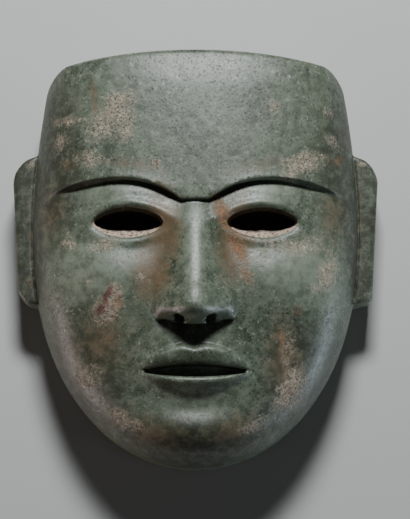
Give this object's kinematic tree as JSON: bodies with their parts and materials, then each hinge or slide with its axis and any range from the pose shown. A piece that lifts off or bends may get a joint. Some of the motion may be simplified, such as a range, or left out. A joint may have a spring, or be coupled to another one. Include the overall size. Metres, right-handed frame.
{
  "type": "carved stone mask",
  "caption": "Life-size carved greenstone face mask with a flat-cut top, blind eye hollows, parted lips, plain flat ear tabs and a hollowed back, lying face up on its flat rim.",
  "frame": {"origin": "centre of the bounding box on the plane that the back rim rests on", "axes": "+Z out of the face and up as the mask lies on its back, +Y from chin to forehead, +X to the right of a viewer who looks down at it with the forehead at the top"},
  "size_m": [0.1924, 0.214, 0.09],
  "materials": {
    "greenstone": "satin"
  },
  "bodies": {
    "root": {"mask": "greenstone"}
  },
  "joints": []
}
